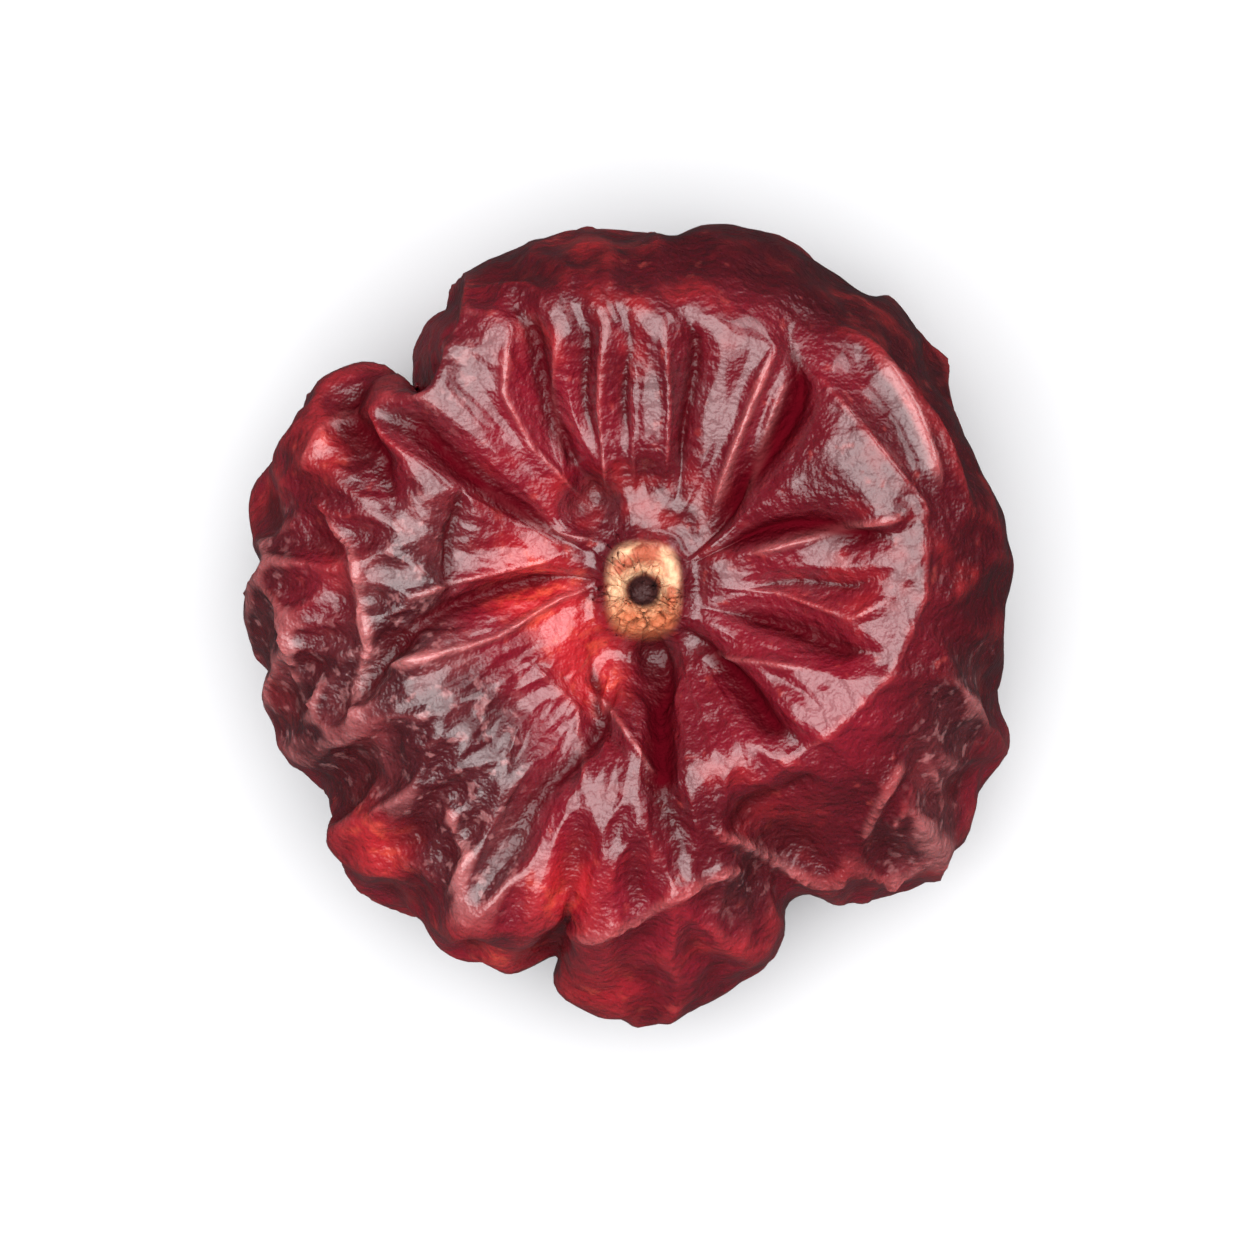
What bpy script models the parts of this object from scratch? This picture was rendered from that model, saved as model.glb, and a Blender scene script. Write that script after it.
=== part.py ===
"""One whole dried cranberry: a flattened, lobed fruit with a dry blossom scar amid its puckered top.

The fruit starts as a ball whose poles are the blossom scar (top) and the stem end (underneath). Each of its
points has a bearing, counted from +X towards +Y, and a run, from 0 at the scar to 1 at the stem end. The form
is worked out from a few sizes round the fruit, then creased, swollen and set down on a small flat foot.
"""

import math
import random

import bpy
import numpy as np

MM = 0.001

# Ball that the fruit is shaped from
SEGMENTS = 96
RINGS = 58
POLE_CROWDING = 0.4  # how much closer the rings lie at the scar and the stem end

# Sizes round the fruit, evenly spaced in bearing from +X: every 30 degrees, and every 12 for the outline
TOP_REACH = (4.95, 5.1, 5.5, 5.5, 5.8, 5.1, 4.6, 4.6, 4.35, 4.05, 3.85, 4.45)  # mm, from the scar to the rim
RIM_HEIGHT = (8.5, 8.85, 8.65, 8.9, 8.5, 8.45, 7.9, 7.9, 7.45, 7.85, 7.95, 8.5)  # mm, over the floor
OUTLINE_REACH = (  # mm, from the middle
    7.36, 7.47, 7.30, 7.44, 7.76, 7.65, 7.49, 7.17, 7.47, 7.31,
    6.71, 6.02, 6.90, 7.18, 6.92, 7.22, 7.12, 7.19, 6.71, 7.09,
    7.31, 7.09, 6.96, 7.03, 7.21, 7.11, 7.21, 7.38, 7.54, 7.36,
)
WIDEST_HEIGHT = 4.0  # mm, where the fruit is widest
WIDEST_LEAN = 0.8  # mm, higher at the back (+Y) and lower at the front
WIDEST_SWAY = 0.45  # mm, up and down three times round the fruit

SCAR_OFFSET = (0.37, 0.45)  # mm, of the scar from the middle of the outline
SCAR_HEIGHT = 7.55  # mm
STEM_OFFSET = (-0.6, 0.5)  # mm, of the stem end from the middle of the outline
STEM_DIMPLE = 1.1  # mm, height of the stem end over the floor

# Notches between the lobes of the outline: bearing in degrees, depth in mm, half width in degrees
NOTCHES = (
    (133, 0.45, 5),
    (209, 0.25, 5),
    (258, 0.45, 4),
    (300, 0.35, 5),
)

# Share of each size at runs 0, 0.1 ... 1
TOP_SHARE = (0, 0.33, 0.68, 1, 0.37, 0, 0, 0, 0, 0, 0)
OUTLINE_SHARE = (0, 0, 0, 0, 0.62, 1, 0.96, 0.81, 0.57, 0.29, 0)
RIM_SHARE = (0, 0.90, 0.965, 1, 0.62, 0, 0, 0, 0, 0, 0)
WIDEST_SHARE = (0, 0, 0, 0, 0.42, 1, 0.5, 0.14, -0.02, 0, 0)

# Blossom scar: a dry squarish ring round a pit
SCAR_HALF_X = 0.56  # mm, to the crest of the ring
SCAR_HALF_Y = 0.72
SCAR_RING_HEIGHT = 0.36
SCAR_RING_WIDTH = 0.20
SCAR_PIT_DEPTH = 0.65
SCAR_PIT_REACH = 0.5  # share of the ring's half size
SCAR_MOAT_DEPTH = 0.35
SCAR_MOAT_REACH = 1.75  # share of the ring's half size
SCAR_MOAT_WIDTH = 0.45  # share of the ring's half size

# Creases of the top: bearing at the start and end in degrees, run at the start and end, depth and width in mm
TOP_CREASES = (
    (40, 60, 0.07, 0.33, 0.85, 0.30),
    (29, 14, 0.07, 0.30, 0.75, 0.34),
    (-2, 6, 0.10, 0.28, 0.35, 0.22),
    (-16, -13, 0.08, 0.29, 0.60, 0.26),
    (-52, -41, 0.08, 0.31, 0.70, 0.30),
    (-86, -80, 0.07, 0.33, 0.80, 0.32),
    (-128, -96, 0.10, 0.22, 0.45, 0.24),
    (-109, -116, 0.12, 0.36, 0.50, 0.30),
    (166, 201, 0.05, 0.38, 0.90, 0.32),
    (146, 144, 0.08, 0.36, 0.70, 0.30),
    (118, 113, 0.10, 0.33, 0.70, 0.28),
    (107, 102, 0.14, 0.30, 0.50, 0.22),
    (94, 94, 0.13, 0.30, 0.55, 0.22),
    (70, 82, 0.10, 0.31, 0.60, 0.24),
    (141, 195, 0.22, 0.23, 0.45, 0.26),
    (-45, -66, 0.33, 0.36, 0.30, 0.30),
    (137, 160, 0.44, 0.29, 0.60, 0.35),
)
TOP_WANDER = 2  # degrees that a crease swings to either side
CREASE_FADE = 0.25  # share of a crease's length over which it fades at each end
CREASE_END_DEPTH = 0.25  # share of its depth that is left at its ends

# Pits beside the scar: bearing in degrees, run, depth and radius in mm
PITS = (
    (121, 0.100, 0.60, 0.42),
    (92, 0.105, 0.45, 0.55),
    (-88, 0.100, 0.40, 0.40),
)

# Swollen lobes: bearing in degrees, run, height and radius in mm
LOBES = (
    (148, 0.43, 0.55, 1.3),
    (172, 0.42, 0.35, 1.5),
    (219, 0.45, 0.45, 1.2),
    (246, 0.40, 0.50, 1.2),
    (276, 0.50, 0.60, 1.7),
    (322, 0.47, 0.45, 1.5),
    (20, 0.42, 0.30, 2.2),
    (75, 0.45, 0.35, 2.0),
)

# Dents where the sides have sunk in: bearing in degrees, run, depth and radius in mm
DENTS = (
    (12, 0.60, 0.9, 2.2),
    (58, 0.66, 1.0, 2.0),
    (104, 0.58, 0.8, 1.9),
    (151, 0.66, 1.0, 2.0),
    (197, 0.58, 0.7, 1.7),
    (243, 0.62, 1.0, 1.9),
    (298, 0.60, 0.9, 1.7),
    (302, 0.39, 0.5, 1.3),
    (343, 0.68, 0.8, 1.9),
)

# Folds drawn by a seeded rule: how many, most lean in degrees, then the least and most of the run at their
# start, the run at their end, their depth in mm and their width in mm
SIDE_FOLDS = (15, 14, (0.40, 0.50), (0.62, 0.78), (0.30, 0.90), (0.35, 0.60))
STEM_CREASES = (12, 18, (0.70, 0.78), (0.93, 0.96), (0.40, 0.80), (0.30, 0.45))
FOLD_UNEVENNESS = 0.3  # share of the spacing that a fold lies off its even place
FOLD_WANDER = 4  # degrees
FOLD_SEED = 7

# The wall on the right is taut and nearly smooth above its widest place
TAUT_BEARING = 45  # degrees, its middle
TAUT_HALF_WIDTH = 62  # degrees
TAUT_RUN = 0.56  # where it ends
TAUT_FADE = 0.08  # of run
TAUT_SHARE = 0.25  # of the folds' and ridges' size that is left there

# Folds and ridges are lower where the fruit is widest
WIDEST_RUN = 0.48
WIDEST_CALM_REACH = 0.055  # of run
WIDEST_CALM = 0.6  # share of their size that is missing there

# Sharp ridges where the shrunken skin stands up between hollows: run and count of each row of hollows
HOLLOW_ROWS = (
    (0.47, 11),
    (0.63, 13),
    (0.83, 9),
)
HOLLOW_UNEVENNESS = 0.35  # share of the spacing round the fruit
HOLLOW_RUN_UNEVENNESS = 0.06
HOLLOW_SEED = 21
HOLLOW_STRETCH = 1.5  # a full run counts as much as this many radians of bearing
RIDGE_HEIGHT = 0.42  # mm
RIDGE_WIDTH = 0.13  # radians
RIDGE_START = 0.33  # run, at the rim of the top
RIDGE_FULL = 0.44
RIDGE_SWAY = 0.07  # radians that a ridge swings to either side
RIDGE_SWAYS_DOWN = 17  # radians of sway along the whole run
RIDGE_SWAYS_ROUND = 3

SMOOTHING = 0.5  # how far each point moves towards the middle of its neighbours, to round off the creases
SMOOTHING_ROUNDS = 2

FOOT_DEPTH = 0.22  # mm of the lowest bumps pressed flat where the fruit rests

SKIN_COLOUR = (0.155, 0.006, 0.012, 1.0)
SKIN_ROUGHNESS = 0.32


def through(values, place):
    """A smooth curve through evenly spaced values, at places counted in steps between them."""
    values = np.asarray(values, float)
    low = np.clip(np.floor(place).astype(int), 0, len(values) - 2)
    part = place - low
    before = values[np.maximum(low - 1, 0)]
    start, end = values[low], values[low + 1]
    after = values[np.minimum(low + 2, len(values) - 1)]
    slope_in, slope_out = (end - before) / 2, (after - start) / 2
    return (
        start
        + slope_in * part
        + (3 * (end - start) - 2 * slope_in - slope_out) * part**2
        + (2 * (start - end) + slope_in + slope_out) * part**3
    )


def around(values, bearing):
    """A smooth closed curve through values that are evenly spaced round the fruit."""
    count = len(values)
    closed = (*values[-2:], *values, *values[:3])
    return through(closed, 2 + np.mod(bearing, 2 * math.pi) / (2 * math.pi) * count)


def angle_between(bearing, degrees):
    """How far each bearing lies from the one given in degrees, in degrees from -180 to 180."""
    return np.mod(np.degrees(bearing) - degrees + 180, 360) - 180


def outline_reach(bearing):
    reach = around(OUTLINE_REACH, bearing)
    for degrees, depth, half_width in NOTCHES:
        reach = reach - depth * np.exp(-((angle_between(bearing, degrees) / half_width) ** 2))
    return reach


def plain_fruit(bearing, run):
    """Points in mm on the fruit before it is creased."""
    station = np.clip(run, 0, 1) * 10
    reach = through(TOP_SHARE, station) * around(TOP_REACH, bearing)
    reach = reach + through(OUTLINE_SHARE, station) * outline_reach(bearing)
    widest = WIDEST_HEIGHT + WIDEST_LEAN * np.sin(bearing) + WIDEST_SWAY * np.sin(3 * bearing + 1)
    height = through(RIM_SHARE, station) * around(RIM_HEIGHT, bearing)
    height = height + through(WIDEST_SHARE, station) * widest
    height = height + through((SCAR_HEIGHT, *[0] * 8, STEM_DIMPLE / 2, STEM_DIMPLE), station)
    to_scar = np.clip((0.5 - run) / 0.3, 0, 1)
    to_stem = np.clip((run - 0.5) / 0.4, 0, 1)
    x = SCAR_OFFSET[0] * to_scar + STEM_OFFSET[0] * to_stem + reach * np.cos(bearing)
    y = SCAR_OFFSET[1] * to_scar + STEM_OFFSET[1] * to_stem + reach * np.sin(bearing)
    return np.stack([x, y, height], axis=-1)


def scar_relief(points):
    """Height in mm that the dry ring, its pit and the moat round it add."""
    x = (points[:, 0] - SCAR_OFFSET[0]) / SCAR_HALF_X
    y = (points[:, 1] - SCAR_OFFSET[1]) / SCAR_HALF_Y
    out = (np.abs(x) ** 3 + np.abs(y) ** 3) ** (1 / 3)
    ring_width = SCAR_RING_WIDTH / SCAR_HALF_X
    ring = SCAR_RING_HEIGHT * np.exp(-(((out - 1) / ring_width) ** 2))
    pit = SCAR_PIT_DEPTH * np.exp(-((out / SCAR_PIT_REACH) ** 4))
    moat = SCAR_MOAT_DEPTH * np.exp(-(((out - SCAR_MOAT_REACH) / SCAR_MOAT_WIDTH) ** 2))
    relief = ring - pit - moat
    return np.where(points[:, 2] > WIDEST_HEIGHT, relief, 0)


def distance_to_line(points, line):
    """Each point's distance from a chain of straight stretches, and how far along it the nearest place is."""
    nearest = np.full(len(points), 1e9)
    along = np.zeros(len(points))
    stretches = len(line) - 1
    for i in range(stretches):
        step = line[i + 1] - line[i]
        share = np.clip((points - line[i]) @ step / (step @ step), 0, 1)
        gap = np.linalg.norm(points - line[i] - share[:, None] * step, axis=1)
        closer = gap < nearest
        nearest[closer] = gap[closer]
        along[closer] = (i + share[closer]) / stretches
    return nearest, along


def crease_cut(points, crease, wander, pieces=10):
    """Depth in mm that one crease cuts at each point: a sharp valley that fades at both ends."""
    start_bearing, end_bearing, start_run, end_run, depth, width = crease
    share = np.linspace(0, 1, pieces)
    bearing = start_bearing + (end_bearing - start_bearing) * share
    bearing = np.radians(bearing + wander * np.sin(share * 2 * math.pi))
    run = start_run + (end_run - start_run) * share
    gap, along = distance_to_line(points, plain_fruit(bearing, run))
    fade = np.clip(np.minimum(along, 1 - along) / CREASE_FADE, 0, 1)
    return depth * (CREASE_END_DEPTH + (1 - CREASE_END_DEPTH) * fade) * np.exp(-gap / width)


def drawn_folds():
    """The folds down the sides and the creases round the stem end."""
    draw = random.Random(FOLD_SEED)
    folds = []
    for count, most_lean, start_runs, end_runs, depths, widths in (SIDE_FOLDS, STEM_CREASES):
        for i in range(count):
            bearing = (i + draw.uniform(-FOLD_UNEVENNESS, FOLD_UNEVENNESS)) * 360 / count
            lean = draw.uniform(-most_lean, most_lean)
            sizes = [draw.uniform(*sizes) for sizes in (start_runs, end_runs, depths, widths)]
            folds.append((bearing, bearing + lean, *sizes))
    return folds


def hollows():
    """Bearing and run of the middle of each hollow, uneven but spread over the sides and the underside."""
    draw = random.Random(HOLLOW_SEED)
    middles = []
    for run, count in HOLLOW_ROWS:
        for i in range(count):
            bearing = (i + draw.uniform(-HOLLOW_UNEVENNESS, HOLLOW_UNEVENNESS)) * 2 * math.pi / count
            middles.append((bearing, run + draw.uniform(-HOLLOW_RUN_UNEVENNESS, HOLLOW_RUN_UNEVENNESS)))
    return np.array(middles)


def on_drum(bearing, run):
    """Places on a drum of radius 1, where hollows are as far apart as they look on the fruit."""
    return np.stack([np.cos(bearing), np.sin(bearing), HOLLOW_STRETCH * run], axis=-1)


def slack(bearing, run):
    """Share of the folds' and ridges' full size: less where the wall is taut or the fruit is widest."""
    beside = np.exp(-((angle_between(bearing, TAUT_BEARING) / TAUT_HALF_WIDTH) ** 4))
    above = np.clip((TAUT_RUN - run) / TAUT_FADE, 0, 1)
    calm = WIDEST_CALM * np.exp(-(((run - WIDEST_RUN) / WIDEST_CALM_REACH) ** 2))
    return (1 - (1 - TAUT_SHARE) * beside * above) * (1 - calm)


def ridges(bearing, run):
    """Height in mm of the sharp ridges, which run where two hollows are equally near."""
    wavy = bearing + RIDGE_SWAY * np.sin(RIDGE_SWAYS_DOWN * run + RIDGE_SWAYS_ROUND * bearing)
    middles = hollows()
    gaps = np.linalg.norm(on_drum(wavy, run)[:, None] - on_drum(middles[:, 0], middles[:, 1])[None], axis=2)
    nearest = np.partition(gaps, 1, axis=1)
    past_rim = np.clip((run - RIDGE_START) / (RIDGE_FULL - RIDGE_START), 0, 1)
    return RIDGE_HEIGHT * past_rim * np.exp(-(nearest[:, 1] - nearest[:, 0]) / RIDGE_WIDTH)


def swelling(points, bearing, run, height, radius):
    """Height in mm that a rounded bump (or, below 0, a pit) adds at each point."""
    centre = plain_fruit(np.radians(bearing), np.array(run, float))
    gap = np.linalg.norm(points - centre, axis=1)
    return height * np.exp(-((gap / radius) ** 2))


def relief(points, bearing, run):
    """How far each point of the plain fruit moves out along its normal, in mm."""
    slackness = slack(bearing, run)
    cut = np.zeros(len(points))
    for crease in TOP_CREASES:
        cut = np.maximum(cut, crease_cut(points, crease, TOP_WANDER))
    for fold in drawn_folds():
        cut = np.maximum(cut, slackness * crease_cut(points, fold, FOLD_WANDER))
    out = slackness * ridges(bearing, run) - cut
    for bearing, run, height, radius in LOBES:
        out = out + swelling(points, bearing, run, height, radius)
    for bearing, run, depth, radius in PITS + DENTS:
        out = out + swelling(points, bearing, run, -depth, radius)
    return out


def skin_material():
    material = bpy.data.materials.new("dried_skin")
    material.use_nodes = True
    shader = material.node_tree.nodes["Principled BSDF"]
    shader.inputs["Base Color"].default_value = SKIN_COLOUR
    shader.inputs["Roughness"].default_value = SKIN_ROUGHNESS
    shader.inputs["Metallic"].default_value = 0.0
    return material


def place_points(mesh, points):
    mesh.vertices.foreach_set("co", (points * MM).astype(np.float32).ravel())
    mesh.update()


def point_places(mesh):
    places = np.empty(len(mesh.vertices) * 3, np.float32)
    mesh.vertices.foreach_get("co", places)
    return places.reshape(-1, 3).astype(float) / MM


def round_off(fruit):
    smooth = fruit.modifiers.new("round_off", "SMOOTH")
    smooth.factor = SMOOTHING
    smooth.iterations = SMOOTHING_ROUNDS
    bpy.ops.object.modifier_apply(modifier=smooth.name)


def make_fruit():
    bpy.ops.mesh.primitive_uv_sphere_add(segments=SEGMENTS, ring_count=RINGS, radius=MM)
    fruit = bpy.context.object
    fruit.name = "dried_cranberry"
    mesh = fruit.data
    ball = point_places(mesh)
    bearing = np.arctan2(ball[:, 1], ball[:, 0])
    run = np.arccos(np.clip(ball[:, 2], -1, 1)) / math.pi
    run = run - POLE_CROWDING * np.sin(2 * math.pi * run) / (2 * math.pi)

    points = plain_fruit(bearing, run)
    place_points(mesh, points)
    normals = np.empty(len(mesh.vertices) * 3, np.float32)
    mesh.vertex_normals.foreach_get("vector", normals)
    points = points + relief(points, bearing, run)[:, None] * normals.reshape(-1, 3)
    place_points(mesh, points)
    round_off(fruit)
    points = point_places(mesh)
    points[:, 2] += scar_relief(points)

    floor = points[:, 2].min() + FOOT_DEPTH
    points[:, 2] = np.maximum(points[:, 2] - floor, 0)
    middle = (points.min(axis=0) + points.max(axis=0)) / 2
    points[:, :2] -= middle[:2]
    place_points(mesh, points)
    mesh.shade_smooth()
    mesh.materials.append(skin_material())
    return fruit


def clear_scene():
    for obj in list(bpy.data.objects):
        bpy.data.objects.remove(obj)


def main():
    clear_scene()
    collection = bpy.data.collections.new("dried_cranberry")
    bpy.context.scene.collection.children.link(collection)
    fruit = make_fruit()
    for holder in list(fruit.users_collection):
        holder.objects.unlink(fruit)
    collection.objects.link(fruit)


main()
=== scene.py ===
"""One whole dried cranberry on a plain pale floor, seen from straight above.

The wrinkled skin is shaped on a fine ball: first the fruit's own form, then skin that has grown too large for
the flesh under it and folds up, then the crisp ridges of the puckered top and the dry blossom scar in its
middle. Sizes of the fruit are in mm, and each point of it has a bearing, counted from +X towards +Y, and a
run, from 0 at the scar to 1 at the stem end. Everything else is in metres.
"""

import math
import random

import bpy
import numpy as np
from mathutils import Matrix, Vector, noise


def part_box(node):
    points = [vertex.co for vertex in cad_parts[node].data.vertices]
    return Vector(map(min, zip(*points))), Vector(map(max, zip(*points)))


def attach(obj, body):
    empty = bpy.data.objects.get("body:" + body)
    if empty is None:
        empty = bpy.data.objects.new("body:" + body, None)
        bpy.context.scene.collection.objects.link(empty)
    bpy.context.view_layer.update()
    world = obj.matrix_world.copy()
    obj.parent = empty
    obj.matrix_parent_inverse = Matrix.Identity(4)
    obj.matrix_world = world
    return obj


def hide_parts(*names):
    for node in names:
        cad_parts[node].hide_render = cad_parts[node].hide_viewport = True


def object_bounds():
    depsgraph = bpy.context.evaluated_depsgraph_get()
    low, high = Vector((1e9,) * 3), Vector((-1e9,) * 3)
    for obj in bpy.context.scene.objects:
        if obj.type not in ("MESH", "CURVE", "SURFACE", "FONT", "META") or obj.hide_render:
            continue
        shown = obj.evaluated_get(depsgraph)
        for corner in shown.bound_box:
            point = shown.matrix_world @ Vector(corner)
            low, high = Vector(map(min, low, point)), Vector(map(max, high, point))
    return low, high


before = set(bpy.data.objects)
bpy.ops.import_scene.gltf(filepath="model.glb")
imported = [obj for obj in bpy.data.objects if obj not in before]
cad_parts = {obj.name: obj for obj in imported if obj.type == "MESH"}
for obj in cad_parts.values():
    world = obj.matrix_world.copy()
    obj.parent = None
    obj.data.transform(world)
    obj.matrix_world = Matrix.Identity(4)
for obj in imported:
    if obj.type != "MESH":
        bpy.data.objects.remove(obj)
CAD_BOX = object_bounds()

MM = 0.001
NODE = "dried_cranberry"
FULL_TURN = 2 * math.pi

# The coarsest grid of the ball that the skin is shaped on. Each round of growth but the first halves its mesh
RINGS = 60
SEGMENTS = 100
POLE_CROWDING = 0.4

# Sizes round the fruit, evenly spaced in bearing from +X
TOP_REACH = (4.95, 5.1, 5.5, 5.5, 5.8, 5.1, 4.6, 4.6, 4.35, 4.05, 3.85, 4.45)
RIM_HEIGHT = (8.5, 8.85, 8.65, 8.9, 8.5, 8.45, 7.9, 7.9, 7.45, 7.85, 7.95, 8.5)
OUTLINE_REACH = (
    7.36, 7.47, 7.30, 7.44, 7.76, 7.65, 7.49, 7.17, 7.47, 7.31,
    6.71, 6.02, 6.90, 7.18, 6.92, 7.22, 7.12, 7.19, 6.71, 7.09,
    7.31, 7.09, 6.96, 7.03, 7.21, 7.11, 7.21, 7.38, 7.54, 7.36,
)
WIDEST_HEIGHT = 4.0
WIDEST_LEAN = 0.8
WIDEST_SWAY = 0.45

SCAR_OFFSET = (0.37, 0.45)
SCAR_HEIGHT = 7.55
STEM_OFFSET = (-0.6, 0.5)
STEM_DIMPLE = 1.1

# Notches between the lobes of the outline: bearing in degrees, depth, half width in degrees
NOTCHES = (
    (133, 0.45, 5),
    (209, 0.25, 5),
    (258, 0.45, 4),
    (300, 0.35, 5),
)

# Share of each size at runs 0, 0.1 ... 1
TOP_SHARE = (0, 0.33, 0.68, 1, 0.37, 0, 0, 0, 0, 0, 0)
OUTLINE_SHARE = (0, 0, 0, 0, 0.62, 1, 0.96, 0.81, 0.57, 0.29, 0)
RIM_SHARE = (0, 0.90, 0.965, 1, 0.62, 0, 0, 0, 0, 0, 0)
WIDEST_SHARE = (0, 0, 0, 0, 0.42, 1, 0.5, 0.14, -0.02, 0, 0)

# Blossom scar: a dry squarish ring round a pit
SCAR_HALF_X = 0.56
SCAR_HALF_Y = 0.72
SCAR_RING_HEIGHT = 0.30
SCAR_RING_WIDTH = 0.17
SCAR_PIT_DEPTH = 0.65
SCAR_PIT_REACH = 0.33
SCAR_MOAT_DEPTH = 0.15
SCAR_MOAT_REACH = 1.75
SCAR_MOAT_WIDTH = 0.45

# Creases of the top: bearing at the start and end in degrees, run at the start and end, depth and width
TOP_CREASES = (
    (40, 60, 0.07, 0.33, 0.85, 0.30),
    (29, 14, 0.07, 0.30, 0.75, 0.34),
    (-2, 6, 0.10, 0.28, 0.35, 0.22),
    (-16, -13, 0.08, 0.29, 0.60, 0.26),
    (-52, -41, 0.08, 0.31, 0.70, 0.30),
    (-86, -80, 0.07, 0.33, 0.80, 0.32),
    (-128, -96, 0.10, 0.22, 0.45, 0.24),
    (-109, -116, 0.12, 0.36, 0.50, 0.30),
    (166, 201, 0.05, 0.38, 0.60, 0.19),
    (146, 144, 0.08, 0.36, 0.70, 0.30),
    (118, 113, 0.10, 0.33, 0.60, 0.22),
    (107, 102, 0.14, 0.30, 0.38, 0.18),
    (94, 94, 0.13, 0.30, 0.40, 0.18),
    (70, 82, 0.10, 0.31, 0.55, 0.20),
    (141, 195, 0.22, 0.23, 0.45, 0.26),
    (-45, -66, 0.33, 0.36, 0.30, 0.30),
    (137, 160, 0.44, 0.29, 0.60, 0.35),
)
TOP_WANDER = 2
CREASE_FADE = 0.25
CREASE_END_DEPTH = 0.25
CREASE_SHARE = 0.70  # share of its depth that a crease of the fine skin has
CREASE_SHARPNESS = 0.85  # share of its width that a crease of the fine skin has

# Pits, lobes and dents: bearing in degrees, run, height or depth, radius
PITS = (
    (121, 0.100, 0.60, 0.42),
    (92, 0.105, 0.45, 0.55),
    (-88, 0.100, 0.40, 0.40),
)
LOBES = (
    (148, 0.43, 0.55, 1.3),
    (172, 0.42, 0.35, 1.5),
    (219, 0.45, 0.45, 1.2),
    (246, 0.40, 0.50, 1.2),
    (276, 0.50, 0.60, 1.7),
    (322, 0.47, 0.45, 1.5),
    (20, 0.42, 0.30, 2.2),
    (75, 0.45, 0.35, 2.0),
)
DENTS = (
    (12, 0.60, 0.9, 2.2),
    (58, 0.66, 1.0, 2.0),
    (104, 0.58, 0.8, 1.9),
    (151, 0.66, 1.0, 2.0),
    (197, 0.58, 0.7, 1.7),
    (243, 0.62, 1.0, 1.9),
    (298, 0.60, 0.9, 1.7),
    (302, 0.39, 0.5, 1.3),
    (343, 0.68, 0.8, 1.9),
)

# A long soft fold that catches the light on the right: bearing and run at its ends, height, width
WALL_FOLD = ((12, 56), (0.385, 0.360), 0.50, 0.32)
WALL_FOLD_PIECES = 8

# Folds drawn by a seeded rule: how many, most lean in degrees, ranges of run at start and end, depth, width
SIDE_FOLDS = (15, 14, (0.40, 0.50), (0.62, 0.78), (0.30, 0.90), (0.35, 0.60))
STEM_CREASES = (12, 18, (0.70, 0.78), (0.93, 0.96), (0.40, 0.80), (0.30, 0.45))
FOLD_UNEVENNESS = 0.3
FOLD_WANDER = 4
FOLD_SEED = 7

# The wall on the right is taut and nearly smooth above its widest place
TAUT_BEARING = 45
TAUT_HALF_WIDTH = 62
TAUT_RUN = 0.56
TAUT_FADE = 0.08
TAUT_SHARE = 0.25

# Folds and ridges are lower where the fruit is widest
WIDEST_RUN = 0.48
WIDEST_CALM_REACH = 0.055
WIDEST_CALM = 0.6

# Sharp ridges between rows of hollows: run and count round the fruit
HOLLOW_ROWS = (
    (0.47, 11),
    (0.63, 13),
    (0.83, 9),
)
HOLLOW_UNEVENNESS = 0.35
HOLLOW_RUN_UNEVENNESS = 0.06
HOLLOW_SEED = 21
HOLLOW_STRETCH = 1.5
RIDGE_HEIGHT = 0.42
RIDGE_WIDTH = 0.13
RIDGE_START = 0.33
RIDGE_FULL = 0.44
RIDGE_SWAY = 0.07
RIDGE_SWAYS_DOWN = 17
RIDGE_SWAYS_ROUND = 3

FOOT_DEPTH = 0.32
SEAM_GAP = 1e-8  # m, within which the rolled up skin's edges are joined

# Rounds of growth of the skin: share that it grows round and down the fruit, steps, hold on the flesh,
# stiffness, unevenness in mm that it starts from
GROWTH = (
    (0.05, 0.02, 300, 0.010, 0.3, 0.02),
    (0.07, 0.03, 300, 0.012, 0.3, 0.01),
    (0.09, 0.06, 260, 0.012, 0.3, 0.006),
)
FREE_FROM = (0.07, 0.12)  # run where the skin comes free of the scar, and how far it takes
FREE_UNTIL = (0.97, 0.05)  # run where it is held again at the stem end, and how far that takes
CROSS_TIES = 0.4  # strength of the ties across the grid's squares
FULLY_GROWN = 0.6  # share of the steps after which the skin is fully grown
EASE = 2.2  # how gently each step follows the pull of the ties
TOP_WRINKLES = 0.55  # share of the wrinkles that the flat top keeps
TOP_WRINKLES_RUN = (0.27, 0.36)
UNDERSIDE_WRINKLES = 0.35  # share that the underside keeps round the stem end
UNDERSIDE_RUN = (0.68, 0.84)
MOST_RISE = 0.30  # mm that a wrinkle stands up at most
WRINKLE_CALM = 0.25  # share of the wrinkles that is missing where the fruit is widest
GROWTH_SEED = 5

# Places where the skin is stretched smooth: bearing in degrees, run, missing share of the wrinkles, radius
SMOOTH_PLACES = (
    (298, 0.375, 0.8, 1.3),
    (318, 0.370, 0.8, 1.3),
    (338, 0.365, 0.6, 1.2),
)

UNEVEN_HEIGHT = 0.15  # mm of gentle unevenness between the wrinkles
UNEVEN_PATCH = 1.7
DRAW_IN = 0.10  # mm that the skin is drawn in at the end, which sharpens its ridges and opens its valleys
DRAW_IN_STEPS = 5

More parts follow.
